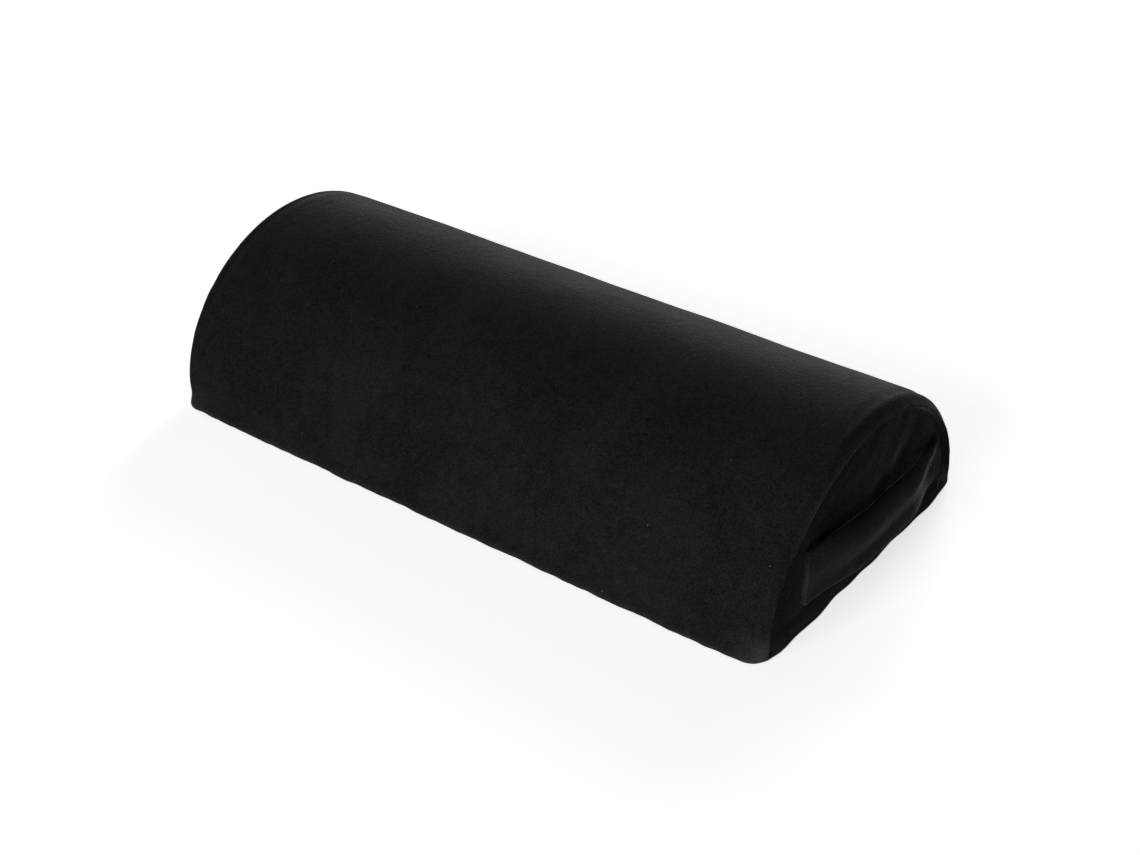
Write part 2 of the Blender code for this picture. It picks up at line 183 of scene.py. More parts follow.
def bolster_block(name, stations, across, rows):
    """A closed half-moon block from a cube cut into a grid; stations run from the middle out."""
    along = 2 * (len(stations) - 1)
    bpy.ops.object.select_all(action="DESELECT")
    bpy.ops.mesh.primitive_cube_add(size=2)
    block = bpy.context.object
    block.name = block.data.name = name
    bpy.ops.object.mode_set(mode="EDIT")
    bpy.ops.mesh.select_mode(type="EDGE")
    for axis, count in ((0, along), (1, across), (2, len(rows) - 1)):
        bpy.ops.mesh.select_all(action="DESELECT")
        mesh = bmesh.from_edit_mesh(block.data)
        for edge in mesh.edges:
            low, high = (vert.co[axis] for vert in edge.verts)
            edge.select_set(abs(high - low) > MM)
        bmesh.update_edit_mesh(block.data)
        bpy.ops.mesh.subdivide(number_cuts=count - 1)
    bpy.ops.object.mode_set(mode="OBJECT")
    sides = [section_sides(inset, floor, across, rows) for x, inset, floor in stations]
    for vert in block.data.vertices:
        step = round((vert.co.x + 1) / 2 * along)
        column = round((vert.co.y + 1) / 2 * across)
        row = round((vert.co.z + 1) / 2 * (len(rows) - 1))
        end = abs(step - along // 2)
        y, z = grid_point(sides[end], column, row, across, rows)
        vert.co = (math.copysign(stations[end][0], step - along // 2), y, z)
    return block


# Rows of the cover's walls in mm, closer round the zip; and its seam ridge from outside in: how
# far past the end panel, how far in from the outline and how far off the floor, in mm.
COVER_ACROSS = 40
COVER_ROWS = [1.46, 2.6, 4, 5.5, 6.9, 7.6, 8.9, 10.4, 12, 13.6, 15.1, 16.4, 17.1, 18.6, 20.5]
COVER_ROWS += [22.5, 24.7, 27, 29.4, 31.9, 34.4, 37, 39.6, 42.2, 44.8, 47.4, 50, 52.5, 55]
SEAM_RIDGE = ((2.9, 6.7, 0.3), (3.2, 7.5, 0.8), (2.5, 8.4, 1.4), (0.1, 8.9, 1.9))


def cover_stations():
    """Sections of the cover from its middle out: the body, the shoulder, the seam ridge."""
    stations = [(4.65 * MM * step, 0, 0) for step in range(41)]
    for x in (187, 190.5, 195, 199.5, 204):
        stations.append((x * MM, 0, 0))
    for step in range(1, SHOULDER_STEPS + 1):
        turn = SEAM_TURN * step / SHOULDER_STEPS
        inset = SHOULDER_RADIUS * (1 - math.cos(turn))
        stations.append((SHOULDER_CENTRE + SHOULDER_RADIUS * math.sin(turn), inset, 0))
    for out, inset, floor in SEAM_RIDGE:
        stations.append((PANEL_X + out * MM, inset * MM, floor * MM))
    stations.append((PANEL_X - 0.7 * MM, SEAM_INSET, 2.6 * MM))
    return stations


def smooth(low, high, value):
    """0 below the low end, 1 above the high end, and eased between them."""
    share = min(max((value - low) / (high - low), 0), 1)
    return share * share * (3 - 2 * share)


def mound(distance, width):
    """A soft bump: 1 in its middle, nearly gone at two widths from it."""
    return math.exp(-((distance / width) ** 2))


def off_line(point, start, end):
    """Distance of a point from a straight crease on the end panel, in its plane."""
    line = (end[0] - start[0], end[1] - start[1])
    reach = (point[0] - start[0], point[1] - start[1])
    share = (reach[0] * line[0] + reach[1] * line[1]) / (line[0] ** 2 + line[1] ** 2)
    share = min(max(share, 0), 1)
    return math.dist(reach, (line[0] * share, line[1] * share))


# Creases of the right end panel: start y z, end y z, width, and how far they stand out, in mm.
PANEL_CREASES = (
    ((45, 79), (26, 52), 6.0, 0.4),
    ((53, 70), (40, 54), 6.5, -0.5),
    ((38, 54), (8, 45), 6.0, -0.6),
    ((36, 84), (39, 73), 4.5, -0.5),
    ((8, 84), (0, 80), 5.0, -0.4),
    ((12, 70), (-10, 74), 7.0, 0.4),
    ((-34, 62), (-52, 40), 8.0, -0.4),
    ((60, 62), (66, 44), 6.0, 0.5),
)
PANEL_CROWN = 1.1 * MM
PANEL_SHAKE = 3 * MM


def panel_room(y, z):
    """Room from a point of the end panel to the seam round it, roughly."""
    half = HALF_WIDTH - SEAM_INSET
    rise = HEIGHT - SEAM_INSET - SIDE_RISE
    climb = min(max((z - SIDE_RISE) / rise, 0), 1)
    reach = half * math.cos(math.asin(climb ** (1 / ARCH_POWER)))
    sideways = reach - abs(y)
    share = min(abs(y) / half, 1)
    upward = SIDE_RISE + rise * math.sin(math.acos(share)) ** ARCH_POWER - z
    return max(0, min(sideways, upward, z))


def panel_relief(y, z, side):
    """How far the end panel stands out from its flat plane: a soft crown and its creases, which
    are mirrored and shallower on the left end."""
    y += PANEL_SHAKE * noise.noise(Vector((y * 50, z * 50, 11)))
    z += PANEL_SHAKE * noise.noise(Vector((y * 50, z * 50, 23)))
    rim = (y / (92 * MM)) ** 2 + ((z - 30 * MM) / (60 * MM)) ** 2
    relief = PANEL_CROWN * max(0, 1 - rim)
    for start, end, width, rise in PANEL_CREASES:
        point = (y / MM, z / MM) if side > 0 else (-y / MM * 0.9 - 12, z / MM * 0.94)
        relief += rise * MM * mound(off_line(point, start, end), width) * (1 if side > 0 else 0.6)
    return relief


def nap_waves(point, outward):
    """Shallow, wide unevenness of the filled top panel, gone at the shoulders and the floor."""
    wave = noise.noise(point * 16) * 0.7 + noise.noise(point * 37) * 0.3
    body = 1 - smooth(200 * MM, 210 * MM, abs(point.x))
    return outward * wave * 0.9 * MM * body * smooth(0, 25 * MM, point.z)


def drawn_in(x, y, z, side, rear):
    """The low corners are drawn in where three seams meet, and the ends bow in between them."""
    corner = math.dist((x, y), (side * 214 * MM, rear * 103.5 * MM))
    pull = 1.4 * MM * mound(corner, 24 * MM) * math.exp(-z / (24 * MM))
    bow = max(0, 1 - (y / (92 * MM)) ** 2) * mound(z, 17 * MM) * smooth(203 * MM, 211 * MM, abs(x))
    return Vector((-side * (pull + 0.8 * MM * bow), -rear * pull, 0))


def low_edges(x, y, z, side, rear):
    """The seam round the base stands out in small gathers, along the sides and across the ends."""
    low_edge = mound(z - 1.5 * MM, 4.5 * MM)
    gather = noise.noise(Vector((x * 46, 3 * rear, z * 12)))
    gather += 0.5 * noise.noise(Vector((x * 130, 5 * rear, z * 30)))
    along_side = smooth(92 * MM, 100 * MM, abs(y)) * low_edge
    pucker = noise.noise(Vector((7 * side, y * 50, z * 12)))
    across_end = smooth(209 * MM, 213 * MM, abs(x)) * (1 - smooth(85 * MM, 97 * MM, abs(y)))
    out_x = side * across_end * low_edge * (1.2 + 1.3 * pucker) * MM
    return Vector((out_x, rear * along_side * (2.4 + 1.0 * gather) * MM, 0))


def settled_ridge(x, y, z, side):
    """The ridge of the end seam lies flatter low down, and is a little uneven all round."""
    flat = (1 - smooth(3 * MM, 10 * MM, z)) * (1 - smooth(84 * MM, 96 * MM, abs(y)))
    flat *= smooth(208.5 * MM, 211 * MM, abs(x))
    sunk = (1 - smooth(46 * MM, 76 * MM, z)) * smooth(6 * MM, 12 * MM, z)
    move = -side * (abs(x) - 214.5 * MM) * 0.8 * flat
    move -= side * max(abs(x) - 214.8 * MM, 0) * 0.7 * sunk
    ridge = mound(abs(x) - 214 * MM, 2.4 * MM) * smooth(SIDE_RISE / 2, SIDE_RISE * 2, z)
    move += side * ridge * 0.35 * MM * noise.noise(Vector((5 * side, y * 120, z * 120)))
    return Vector((move, 0, 0))


def zip_slot(x, z):
    """The rear wall sinks into the slot that the zip lies in, between two turned-in lips."""
    easing = 0.35 * MM
    across = smooth(SLOT_LOW - easing, SLOT_LOW + easing, z)
    across *= 1 - smooth(SLOT_HIGH - easing, SLOT_HIGH + easing, z)
    ends = 1 - smooth(SLOT_X, SLOT_X + MM, abs(x))
    lips = mound(z - SLOT_LOW + 1.5 * MM, 1.6 * MM) + mound(z - SLOT_HIGH - 1.5 * MM, 1.6 * MM)
    return Vector((0, (0.45 * lips * MM - SLOT_DEPTH * across) * ends, 0))


def sew_and_settle(point):
    """Where the sewn, filled cover holds a point of the plain form."""
    x, y, z = point
    side = 1 if x > 0 else -1
    rear = 1 if y > 0 else -1
    outward = Vector((0, y, z - CORE_Z)).normalized()
    move = nap_waves(Vector(point), outward)
    move += drawn_in(x, y, z, side, rear)
    move += low_edges(x, y, z, side, rear)
    move += settled_ridge(x, y, z, side)
    fold = mound(abs(x) - 205.5 * MM, 2.6 * MM) * smooth(4 * MM, 20 * MM, z)
    move -= outward * fold * (0.55 + 0.4 * noise.noise(Vector((side, y * 30, z * 30)))) * MM
    if abs(x) > PANEL_X - MM:
        move.x += side * panel_relief(y, z, side) * smooth(0, 8 * MM, panel_room(y, z))
    if y > 90 * MM and abs(x) < 195 * MM:
        move += zip_slot(x, z)
    return Vector(point) + move


def apply_modifier(obj, kind, **settings):
    bpy.context.view_layer.objects.active = obj
    modifier = obj.modifiers.new(kind.title(), kind)
    for key, value in settings.items():
        setattr(modifier, key, value)
    bpy.ops.object.modifier_apply(modifier=modifier.name)


def held_by_seams(point):
    """How firmly the seams, the zip and the floor hold a point of the cover, from 0 to 1."""
    x, y, z = point
    end = smooth(206 * MM, 211 * MM, abs(x))
    foot = smooth(92 * MM, 99 * MM, abs(y)) * (1 - smooth(4 * MM, 14 * MM, z))
    slot = smooth(0, 30 * MM, y) * (1 - smooth(19 * MM, 30 * MM, z))
    return max(end, foot, slot)


def fill_cover(block, pressure, slack, furthest, moments):
    """The filling swells the sewn cover: cloth under light pressure from a slightly small start,
    its seams held, no point going further than the foam would push it."""
    plain = [vert.co.copy() for vert in block.data.vertices]
    sewn = block.vertex_groups.new(name="sewn")
    for vert, place in zip(block.data.vertices, plain):
        held = held_by_seams(place)
        sewn.add([vert.index], held, "REPLACE")
        inward = Vector((0, place.y, max(place.z - CORE_Z, 0))).normalized()
        vert.co = place - inward * slack * (1 - held)
    start = [vert.co.copy() for vert in block.data.vertices]
    bpy.context.view_layer.objects.active = block
    filling = block.modifiers.new("Filling", "CLOTH")
    filling.settings.use_pressure = True
    filling.settings.uniform_pressure_force = pressure
    filling.settings.vertex_group_mass = "sewn"
    filling.settings.effector_weights.gravity = 0
    for moment in range(1, moments + 1):
        bpy.context.scene.frame_set(moment)
    bpy.ops.object.modifier_apply(modifier=filling.name)
    for vert, origin in zip(block.data.vertices, start):
        move = vert.co - origin
        far = move.length
        if far > 0:
            vert.co = origin + move / far * furthest * math.tanh(far / furthest)
        vert.co.z = max(vert.co.z, 0)
        if origin.z < 0.1 * MM:
            vert.co.z = 0
    bpy.context.scene.frame_set(1)


def painted_strap_shadow(x, y, z):
    """Painted shadow of the strap on the end panel: darkest above its top edge, where it swings
    against the panel, and beside its front end."""
    if x <= PANEL_X - 2 * MM:
        return 0
    above = z - (50 - 5 * smooth(0, 74 * MM, y)) * MM
    length = smooth(-66 * MM, -50 * MM, y) * (1 - smooth(72 * MM, 80 * MM, y))
    over = length * (1 - smooth(0, 17 * MM, above)) * smooth(16 * MM, 22 * MM, z)
    beside = mound(y + 69 * MM, 5 * MM) * smooth(14 * MM, 28 * MM, z)
    return 0.6 * over + 0.5 * beside * (1 - smooth(52 * MM, 66 * MM, z))


def painted_light_cover(point):
    """Painted light of the cover: painted highlight along the foot seam, the low edge of the ends,
    the top of the end seam ridges and the corners; painted shade below zero on the end panels."""
    x, y, z = point
    # Painted highlight where the low edges, the seam ridges and the corners catch the light.
    foot = smooth(97 * MM, 101 * MM, abs(y)) * mound(z - 1.5 * MM, 2.2 * MM)
    low_end = smooth(209 * MM, 212 * MM, abs(x)) * mound(z - 3 * MM, 7 * MM)
    ridge = mound(abs(x) - 215 * MM, 1.2 * MM) * smooth(50 * MM, 68 * MM, z)
    corner = mound(math.dist((abs(x), abs(y)), (212 * MM, 101 * MM)), 14 * MM)
    corner *= 1 - smooth(6 * MM, 22 * MM, z)
    painted_light_and_wear = min(0.35 * foot + 0.45 * low_end + 0.22 * ridge + 0.3 * corner, 0.7)
    # Painted shade over the end panels, from about 14 mm up, and the strap's painted shadow.
    panel = smooth(0, 6 * MM, panel_room(y, z)) * smooth(212 * MM, 213 * MM, abs(x))
    return painted_light_and_wear - 0.4 * panel * smooth(14 * MM, 36 * MM, z) - painted_strap_shadow(x, y, z)


def keep_painted_light(obj, values):
    """Stores each point's painted highlight (above zero) and painted shade (below zero), for the
    velour's colour.
    """
    layer = obj.data.attributes.new("painted_light_and_wear", "FLOAT", "POINT")
    layer.data.foreach_set("value", values)


cover_rows = [row * MM for row in COVER_ROWS]
cover = bolster_block("cushion_cover", cover_stations(), COVER_ACROSS, cover_rows)
fill_cover(cover, pressure=4, slack=1.3 * MM, furthest=2.6 * MM, moments=20)
apply_modifier(cover, "SUBSURF", levels=1, render_levels=1)
painted_lights = []
for vert in cover.data.vertices:
    painted_lights.append(painted_light_cover(vert.co))
    vert.co = sew_and_settle(vert.co)
keep_painted_light(cover, painted_lights)
bpy.ops.object.shade_smooth()


class Value:
    """One output in a material's node tree, with Python's operators for its Math nodes."""

    def __init__(self, tree, socket):
        self.tree = tree
        self.socket = socket

    def math(self, operation, first, second):
        return add_node(
            self.tree, "ShaderNodeMath", {"operation": operation}, {0: first, 1: second}
        )

    def __add__(self, other):
        return self.math("ADD", self, other)

    def __radd__(self, other):
        return self.math("ADD", other, self)

    def __mul__(self, other):
        return self.math("MULTIPLY", self, other)

    def __gt__(self, other):
        return self.math("GREATER_THAN", self, other)

    def __lt__(self, other):
        return self.math("LESS_THAN", self, other)


def add_node(tree, kind, settings, inputs, output=0):
    """A node of any kind: its settings are set first, then its sockets are filled or linked."""
    node = tree.nodes.new(kind)
    for key, value in settings.items():
        setattr(node, key, value)
    for key, value in inputs.items():
        if isinstance(value, Value):
            tree.links.new(value.socket, node.inputs[key])
        else:
            node.inputs[key].default_value = value
    return Value(tree, node.outputs[output])


def new_finish(name, **constants):
    """A material with its Principled shader, whose constant values are set on its own sockets."""
    finish = bpy.data.materials.new(name)
    finish.use_nodes = True
    tree = finish.node_tree
    shader = next(node for node in tree.nodes if node.type == "BSDF_PRINCIPLED")
    for key, value in constants.items():
        shader.inputs[key.replace("_", " ").title().replace("Ior", "IOR")].default_value = value
    return finish, tree, shader


def noise_at(tree, place, scale, detail=2.0, distortion=0.0):
    inputs = {"Vector": place, "Scale": scale, "Detail": detail, "Distortion": distortion}
    return add_node(tree, "ShaderNodeTexNoise", {}, inputs)


def steps_between(tree, value, low, high, to_low=0.0, to_high=1.0):
    """A value eased from one range to another."""
    inputs = {"Value": value, 1: low, 2: high, 3: to_low, 4: to_high}
    return add_node(tree, "ShaderNodeMapRange", {"interpolation_type": "SMOOTHSTEP"}, inputs)


def mix_colours(tree, factor, first, second):
    inputs = {0: factor, 6: first, 7: second}
    return add_node(tree, "ShaderNodeMix", {"data_type": "RGBA"}, inputs, output=2)


def velour(name, dark, light, lint=0.6):
    """Short cut pile: near black, lighter where the nap leans, with painted highlight and shade
    from a point attribute and specks of lint.
    """
    finish, tree, shader = new_finish(
        name, sheen_weight=0.42, sheen_roughness=0.24, specular_ior_level=0.1
    )
    shader.inputs["Sheen Tint"].default_value = (0.77, 0.77, 0.77, 1)
    place = add_node(tree, "ShaderNodeTexCoord", {}, {}, output="Object")
    lean = noise_at(tree, place, 20, 2, 0.4)
    brushed = noise_at(tree, place, 130, 4)
    tufts = noise_at(tree, place, 850, 2)
    fibres = noise_at(tree, place, 2000, 1)
    nap = steps_between(tree, lean * 0.55 + brushed * 0.45, 0.33, 0.68)
    grain = steps_between(tree, tufts * 0.45 + fibres * 0.55, 0.41, 0.59)
    colour = mix_colours(tree, nap * 0.38 + grain * 0.62, dark, light)
    # Painted light: the point attribute pulls the colour toward a painted highlight above zero and
    # a painted shade below zero.
    painted_light_and_wear = add_node(tree, "ShaderNodeAttribute", {"attribute_name": "painted_light_and_wear"}, {}, output="Fac")
    colour = mix_colours(tree, painted_light_and_wear * (0.6 + grain * 0.4), colour, PILE_PAINTED_HIGHLIGHT)
    colour = mix_colours(tree, painted_light_and_wear * -1, colour, PILE_PAINTED_SHADE)
    cells = {"Vector": place, "Scale": 95, "Randomness": 1}
    spot = add_node(tree, "ShaderNodeTexVoronoi", {}, cells, output="Distance")
    chance = add_node(tree, "ShaderNodeTexVoronoi", {}, cells, output="Color")
    pick = add_node(tree, "ShaderNodeSeparateColor", {}, {0: chance}, output=0)
    speck = (spot < 0.032) * (pick > 1 - lint)
    colour = mix_colours(tree, speck * pick * 0.5, colour, (0.42, 0.42, 0.42, 1))
    tree.links.new(colour.socket, shader.inputs["Base Color"])
    rough = 0.78 + nap * 0.14
    tree.links.new(rough.socket, shader.inputs["Roughness"])
    height = brushed * 0.4 + tufts * 0.42 + fibres * 0.18
    inputs = {"Strength": 0.7, "Distance": 1.3 * MM, "Height": height}
    bump = add_node(tree, "ShaderNodeBump", {}, inputs)
    tree.links.new(bump.socket, shader.inputs["Normal"])
    return finish


pile = velour("black_velour", PILE_DARK, PILE_LIGHT)
cover.data.materials.clear()
cover.data.materials.append(pile)
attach(cover, "cushion")
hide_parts("cover_top", "cover_base", "cover_end_left", "cover_end_right")
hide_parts("cover_zip_facing")

# Inside the cover lies a block of open-cell foam in a thin calico liner sewn from four panels.
FOAM_INSET = 9 * MM
FOAM_END = 203 * MM
LINER_INSET = 7.5 * MM
LINER_END = 204.5 * MM
INNER_ACROSS = 16
inner_rows = [(4 + 5 * step) * MM for step in range(11)]


def plain_stations(inset, end, round_end):
    """Stations of a plain block with rounded ends, which clears the floor by its inset."""
    stations = [(end * step / 12, inset, inset) for step in range(11)]
    stations.append((end - round_end * 2, inset, inset))
    for step in range(5):
        turn = math.pi / 2 * step / 4
        x = end - round_end + round_end * math.sin(turn)
        drawn = inset + round_end * (1 - math.cos(turn)) * 0.9
        stations.append((x, drawn, inset + step * 0.8 * MM))
    return stations


def foam_finish(name):
    finish, tree, shader = new_finish(name, roughness=0.95, specular_ior_level=0.1)
    place = add_node(tree, "ShaderNodeTexCoord", {}, {}, output="Object")
    cells = {"Vector": place, "Scale": 700, "Randomness": 1}
    pores = add_node(tree, "ShaderNodeTexVoronoi", {}, cells, output="Distance")
    stain = noise_at(tree, place, 30, 3)
    colour = mix_colours(tree, stain, (0.62, 0.55, 0.36, 1), (0.75, 0.69, 0.5, 1))
    tree.links.new(colour.socket, shader.inputs["Base Color"])
    inputs = {"Strength": 0.8, "Distance": 0.6 * MM, "Height": pores}
    bump = add_node(tree, "ShaderNodeBump", {}, inputs)
    tree.links.new(bump.socket, shader.inputs["Normal"])
    return finish


def calico_finish(name, colour_a, colour_b, scale):
    finish, tree, shader = new_finish(name, roughness=0.9, specular_ior_level=0.15)
    place = add_node(tree, "ShaderNodeTexCoord", {}, {}, output="Object")
    waves = {"Vector": place, "Scale": scale, "Distortion": 1.0}
    warp = add_node(tree, "ShaderNodeTexWave", {"bands_direction": "X"}, waves, output=1)
    weft = add_node(tree, "ShaderNodeTexWave", {"bands_direction": "Z"}, waves, output=1)
    fade = noise_at(tree, place, 60, 3)
    colour = mix_colours(tree, fade, colour_a, colour_b)
    tree.links.new(colour.socket, shader.inputs["Base Color"])
    inputs = {"Strength": 0.5, "Distance": 0.3 * MM, "Height": warp * weft}
    bump = add_node(tree, "ShaderNodeBump", {}, inputs)
    tree.links.new(bump.socket, shader.inputs["Normal"])
    return finish


foam_line = plain_stations(FOAM_INSET, FOAM_END, 5 * MM)
foam = bolster_block("foam_block", foam_line, INNER_ACROSS, inner_rows)
apply_modifier(foam, "SUBSURF", levels=1, render_levels=1)
foam.data.materials.append(foam_finish("open_cell_foam"))
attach(foam, "cushion")
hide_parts("foam_core")

calico = calico_finish("calico", (0.66, 0.62, 0.54, 1), (0.74, 0.7, 0.62, 1), 900)
liner_line = plain_stations(LINER_INSET, LINER_END, 6 * MM)
liner = bolster_block("liner_bag", liner_line, INNER_ACROSS, inner_rows)
apply_modifier(liner, "SUBSURF", levels=1, render_levels=1)
liner.data.materials.append(calico)
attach(liner, "cushion")
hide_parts("liner_top", "liner_base", "liner_end_left", "liner_end_right")
for node in ("strap_patch_front", "strap_patch_rear"):
    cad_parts[node].data.materials.clear()
    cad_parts[node].data.materials.append(calico)

# The end seams: a fine bead of turned-in pile stands along each arched seam, its velour painted
# lighter as a highlight.
BEAD_RADIUS = 0.5 * MM
BEAD_FOOT = 54 * MM


def seam_bead(name, side, finish):
    """A thin uneven bead along the ridge of the end seam, thinning out towards the floor."""
    bpy.ops.object.select_all(action="DESELECT")
    bpy.ops.mesh.primitive_circle_add(vertices=8, radius=BEAD_RADIUS)
    bead = bpy.context.object
    bead.name = bead.data.name = name
    line = [point for point in half_line(8.0 * MM, 1.2 * MM) if point[1] > BEAD_FOOT]
    path = [(y, z) for y, z in line] + [(-y, z) for y, z in line[-2::-1]]
    ring = [vert.co.copy() for vert in bead.data.vertices]
    mesh = bmesh.new()
    loops = []
    for index, (y, z) in enumerate(path):
        before = path[max(index - 1, 0)]
        after = path[min(index + 1, len(path) - 1)]
        run = Vector((0, after[0] - before[0], after[1] - before[1])).normalized()
        out = Vector((side, 0, 0))
        across = run.cross(out)
        middle = Vector((side * (PANEL_X + 3.1 * MM), y, z))
        middle = sew_and_settle(middle)
        taper = min(1, 0.2 + min(index, len(path) - 1 - index) / 22)
        taper *= 0.85 + 0.3 * noise.noise(Vector((y * 260, z * 260, side)))
        loop = [mesh.verts.new(middle + (out * c.x + across * c.y) * taper) for c in ring]
        loops.append(loop)
    for first, second in zip(loops, loops[1:]):
        for k in range(len(ring)):
            n = (k + 1) % len(ring)
            mesh.faces.new((first[k], first[n], second[n], second[k]))
    mesh.faces.new(loops[0])
    mesh.faces.new(loops[-1][::-1])
    bmesh.ops.recalc_face_normals(mesh, faces=mesh.faces)
    mesh.to_mesh(bead.data)
    mesh.free()
    apply_modifier(bead, "SUBSURF", levels=1, render_levels=1)
    bpy.ops.object.shade_smooth()
    bead.data.materials.append(finish)
    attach(bead, "cushion")


# The bead's velour is painted lighter than the cover's pile: a painted highlight along the seam.
bead_highlight_velour = velour("painted_highlight_velour", (0.015, 0.015, 0.015, 1), (0.065, 0.065, 0.065, 1), lint=1)
seam_bead("seam_bead_right", 1, bead_highlight_velour)
seam_bead("seam_bead_left", -1, bead_highlight_velour)

# The carry strap: a flat tube of the same velour, its ends folded under and sewn to the end
# panel; the free part between them stands off in a slack bow.
STRAP_FRONT = -64 * MM
STRAP_REAR = 73 * MM
STRAP_LOW = 17.1 * MM
STRAP_HIGH = 50.1 * MM
STRAP_CLOTH = 1.7 * MM
STRAP_BOW = 8.2 * MM
STRAP_FOLD = 13 * MM
UNDER_X = PANEL_X + 1.3 * MM
OVER_X = PANEL_X + 3.3 * MM


def along_strap(y):
    return min(max((y - STRAP_FRONT) / (STRAP_REAR - STRAP_FRONT), 0), 1)


def strap_bow(y):
    share = along_strap(y)
    return STRAP_BOW * smooth(0, 0.4, share) * (1 - smooth(0.7, 1, share))


def strap_path():
    """The middle of the strap's cloth seen from above, x and y, from one turned-in end round to
    the other, with how far each point belongs to the free, outer layer."""
    turn = (OVER_X - UNDER_X) / 2
    path = []
    for step in range(7):
        path.append((UNDER_X, STRAP_FRONT + STRAP_FOLD - (STRAP_FOLD - turn) * step / 6, 0))
    for step in range(1, 6):
        angle = math.pi * step / 6
        x = UNDER_X + turn - turn * math.cos(angle)
        path.append((x, STRAP_FRONT + turn - turn * math.sin(angle), step / 6))
    low, high = STRAP_FRONT + turn, STRAP_REAR - turn
    for step in range(89):
        y = low + (high - low) * step / 88
        path.append((OVER_X + strap_bow(y), y, 1))
    for step in range(1, 6):
        angle = math.pi * step / 6
        x = OVER_X - turn + turn * math.cos(angle)
        path.append((x, STRAP_REAR - turn + turn * math.sin(angle), 1 - step / 6))
    for step in range(7):
        path.append((UNDER_X, STRAP_REAR - turn - (STRAP_FOLD - turn) * step / 6, 0))
    return path


def strap_crest(share):
    """Where the soft crest lies across the strap: near its middle, rising towards the rear."""
    return -0.1 + 0.32 * smooth(0, 0.5, share) + 0.45 * smooth(0.55, 1, share)


def strap_relief(y, w):
    """How far the outer layer leaves its even bow: a soft crest along it, its top leaning in."""
    share = along_strap(y)
    free = smooth(0.04, 0.3, share) * (1 - smooth(0.93, 1, share))
    line = strap_crest(share)
    crest = 1.3 * mound(w - line, 0.24) * (0.6 + 0.5 * share)
    hollow = -0.9 * mound(w - (line - 1) / 2, 0.2)
    lean = -3.6 * smooth(line + 0.1, 1.05, w)
    return (crest + hollow + lean) * free * MM


def strap_height(y, w):
    """The strap tapers a little towards its rear end, where it is drawn in."""
    low = STRAP_LOW + 0.4 * MM * along_strap(y)
    high = STRAP_HIGH + 0.6 * MM - 5 * MM * smooth(0.55, 1, along_strap(y))
    return low + (high - low) * (w + 1) / 2


path = strap_path()
bpy.ops.object.select_all(action="DESELECT")
bpy.ops.mesh.primitive_grid_add(x_subdivisions=len(path) - 1, y_subdivisions=16, size=2)
strap = bpy.context.object
strap.name = strap.data.name = "carry_strap"
for vert in strap.data.vertices:
    x, y, outer = path[round((vert.co.x + 1) / 2 * (len(path) - 1))]
    w = vert.co.y
    wave = noise.noise(Vector((y * 60, w * 1.5, 7))) * 0.5 * MM
    z = strap_height(y, w) + wave * outer * 0.5
    slant = 3 * MM * (w + 1) / 2 * (1 - smooth(0, 0.3, along_strap(y)))
    vert.co = (x + outer * (strap_relief(y, w) + wave * 0.4), y + slant, z)
apply_modifier(strap, "SOLIDIFY", thickness=STRAP_CLOTH, offset=0)
apply_modifier(strap, "SUBSURF", levels=1, render_levels=1)
bpy.ops.object.shade_smooth()


def painted_light_strap(y, z):
    """Painted light of the strap: a painted highlight along its low edge, its crest and its front
    end, lighter below the crest, and painted shade at its top.
    """
    low = strap_height(y, -1)
    high = strap_height(y, 1)
    w = 2 * (z - low) / (high - low) - 1
    share = along_strap(y)
    line = strap_crest(share)
    edge = 1.6 * mound(w + 1.04, 0.09)
    crest = (0.2 + 0.15 * share) * mound(w - line, 0.18) * (1 - smooth(0.85, 1, share))
    end = 0.05 * mound(y - STRAP_FRONT, 1.6 * MM)
    pressed = smooth(line + 0.15, 1, w) * (0.45 + 0.45 * smooth(0.05, 0.35, share))
    return (0.12 + crest) * (1 - smooth(line, 0.9, w)) + edge + end - pressed


keep_painted_light(strap, [painted_light_strap(vert.co.y, vert.co.z) for vert in strap.data.vertices])
# The strap's velour is a copy of the cover's pile painted lighter, for the light that falls on the
# strap.
strap_pile_painted_lighter = velour("strap_velour_painted_lighter", (0.008, 0.008, 0.008, 1), (0.038, 0.038, 0.038, 1))
strap.data.materials.append(strap_pile_painted_lighter)
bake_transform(strap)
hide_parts("handle_strap", "strap_end_front", "strap_end_rear")

# Each sewn end of the strap is held by a box of polyester lockstitch, let into the pile.
STITCH_PITCH = 2.9 * MM
STITCH_LENGTH = 2.1 * MM
STITCH_RADIUS = 0.3 * MM


def thread_finish(name, dark, light):
    finish, tree, shader = new_finish(name, roughness=0.55, specular_ior_level=0.4)
    place = add_node(tree, "ShaderNodeTexCoord", {}, {}, output="Object")
    twist = noise_at(tree, place, 1900, 2)
    tree.links.new(mix_colours(tree, twist, dark, light).socket, shader.inputs["Base Color"])
    inputs = {"Strength": 0.4, "Distance": 0.1 * MM, "Height": twist}
    bump = add_node(tree, "ShaderNodeBump", {}, inputs)
    tree.links.new(bump.socket, shader.inputs["Normal"])
    return finish


def stitch_mesh():
    """One stitch along x: a round thread drawn down into the cloth at both its ends."""
    bpy.ops.object.select_all(action="DESELECT")
    bpy.ops.mesh.primitive_uv_sphere_add(segments=8, ring_count=6, radius=STITCH_RADIUS)
    stitch = bpy.context.object
    for vert in stitch.data.vertices:
        x, y, z = vert.co
        reach = z / STITCH_RADIUS
        along = reach * STITCH_LENGTH / 2
        vert.co = (along, y, x - 0.25 * MM * reach**2)
    mesh = stitch.data.copy()
    bpy.data.objects.remove(stitch)
    return mesh


